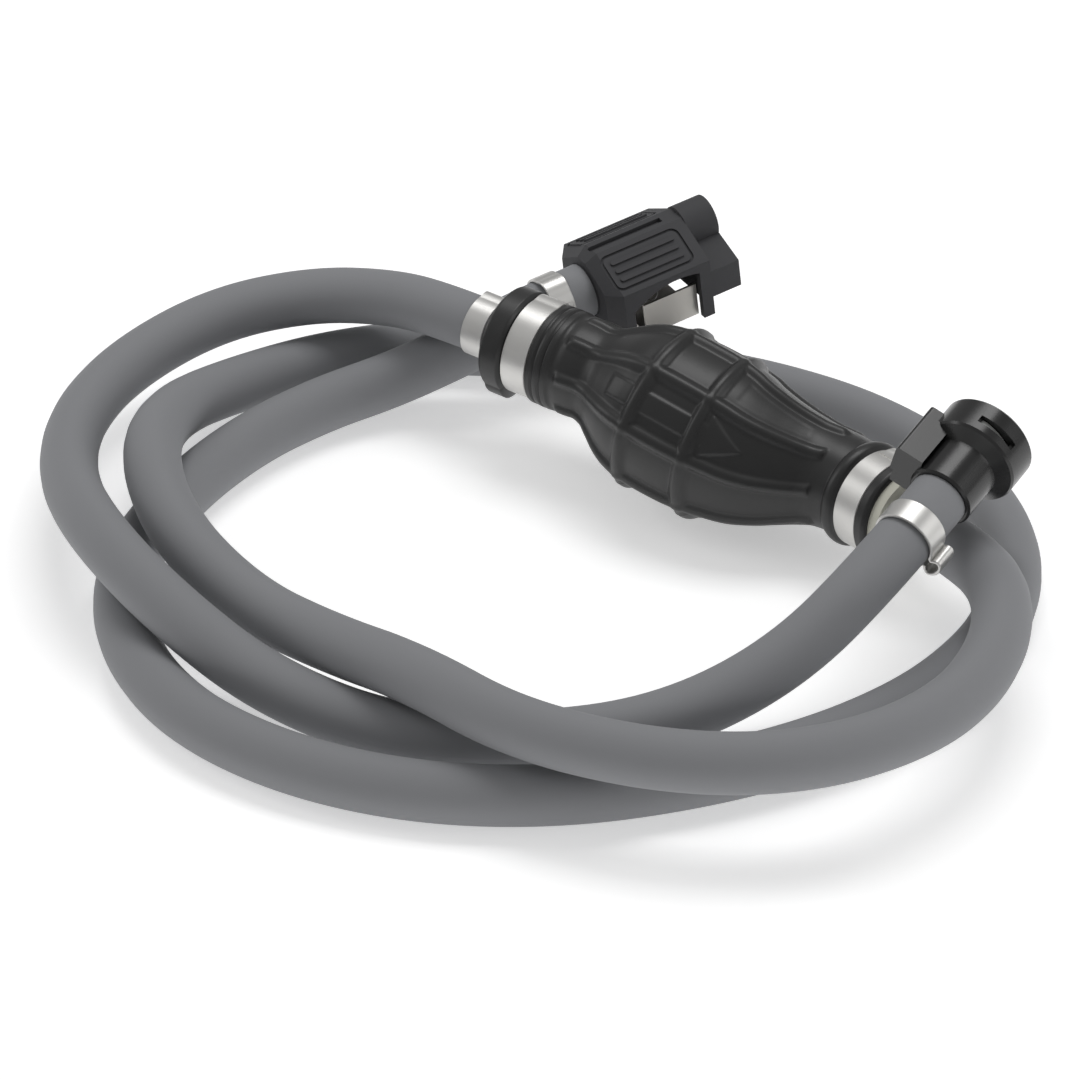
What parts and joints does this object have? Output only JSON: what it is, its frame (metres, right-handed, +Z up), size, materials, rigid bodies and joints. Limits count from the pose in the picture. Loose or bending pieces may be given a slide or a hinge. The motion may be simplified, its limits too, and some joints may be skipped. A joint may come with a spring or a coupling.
{
  "type": "outboard fuel line with primer bulb",
  "caption": "Fuel hose assembly with a hand-squeezed rubber primer bulb, a push-button tank coupling and a latched engine coupling, held by steel ear clamps.",
  "frame": {"origin": "on the floor below the middle of the primer bulb and its end fittings", "axes": "+X along the bulb with the fuel's flow, +Z up"},
  "size_m": [0.2983, 0.2609, 0.0623],
  "materials": {
    "hose_rubber": "matte",
    "bulb_rubber": "satin",
    "valve_plastic_dark": "matte",
    "valve_plastic_cream": "matte",
    "valve_disc": "matte",
    "tank_plastic": "satin gloss",
    "latch_plate_plastic": "matte",
    "engine_plastic": "matte",
    "latch_steel": "satin",
    "clamp_steel": "satin",
    "spring_steel": "bright",
    "brass": "machined",
    "seal_rubber": "satin"
  },
  "bodies": {
    "line": {"hose_supply": "hose_rubber", "hose_delivery": "hose_rubber", "primer_bulb": "bulb_rubber", "inlet_valve_body": "valve_plastic_dark", "inlet_valve_cage": "valve_plastic_dark", "inlet_check_spring": "spring_steel", "outlet_valve_body": "valve_plastic_cream", "outlet_valve_seat": "valve_plastic_cream", "outlet_check_spring": "spring_steel", "bulb_clamp_inlet": "clamp_steel", "bulb_clamp_outlet": "clamp_steel", "hose_clamp_inlet": "clamp_steel", "hose_clamp_outlet": "clamp_steel", "hose_clamp_tank": "clamp_steel", "hose_clamp_engine": "clamp_steel", "tank_body": "tank_plastic", "tank_valve_seat": "brass", "tank_poppet_spring": "spring_steel", "tank_port_seal": "seal_rubber", "tank_button_spring": "spring_steel", "engine_grip_shell": "engine_plastic", "engine_body": "engine_plastic", "engine_valve_seat": "brass", "engine_poppet_spring": "spring_steel", "engine_port_seal": "seal_rubber", "engine_latch_spring": "spring_steel"},
    "inlet_check": {"inlet_check_disc": "valve_disc"},
    "outlet_check": {"outlet_check_disc": "valve_disc"},
    "tank_release": {"tank_release_button": "tank_plastic", "tank_latch_plate": "latch_plate_plastic"},
    "tank_check": {"tank_check_poppet": "brass"},
    "engine_release": {"engine_latch": "latch_steel"},
    "engine_check": {"engine_check_poppet": "brass"}
  },
  "joints": [
    {"name": "inlet_check_slide", "type": "slide", "parent": "line", "child": "inlet_check", "axis": [0.9981, 0.0277, -0.0554], "range_m": [0, 0.002], "stiffness_N_per_m": 40, "springref_m": -0.002, "deforming": ["inlet_check_spring"]},
    {"name": "outlet_check_slide", "type": "slide", "parent": "line", "child": "outlet_check", "axis": [0.9724, -0.2325, 0.0211], "range_m": [0, 0.002], "stiffness_N_per_m": 40, "springref_m": -0.002, "deforming": ["outlet_check_spring"]},
    {"name": "tank_release_press", "type": "slide", "parent": "line", "child": "tank_release", "axis": [0.9432, 0.0751, -0.3237], "range_m": [0, 0.0018], "stiffness_N_per_m": 900, "springref_m": -0.002, "deforming": ["tank_button_spring"]},
    {"name": "tank_check_slide", "type": "slide", "parent": "line", "child": "tank_check", "axis": [0, -0.9741, -0.2261], "range_m": [0, 0.002], "stiffness_N_per_m": 400, "springref_m": -0.002, "deforming": ["tank_poppet_spring"]},
    {"name": "engine_release_lift", "type": "slide", "parent": "line", "child": "engine_release", "axis": [-0.0541, -0.1165, 0.9917], "range_m": [0, 0.003], "stiffness_N_per_m": 700, "springref_m": -0.002, "deforming": ["engine_latch_spring"]},
    {"name": "engine_check_slide", "type": "slide", "parent": "line", "child": "engine_check", "axis": [-0.4176, -0.8995, -0.1285], "range_m": [0, 0.002], "stiffness_N_per_m": 400, "springref_m": -0.002, "deforming": ["engine_poppet_spring"]}
  ]
}
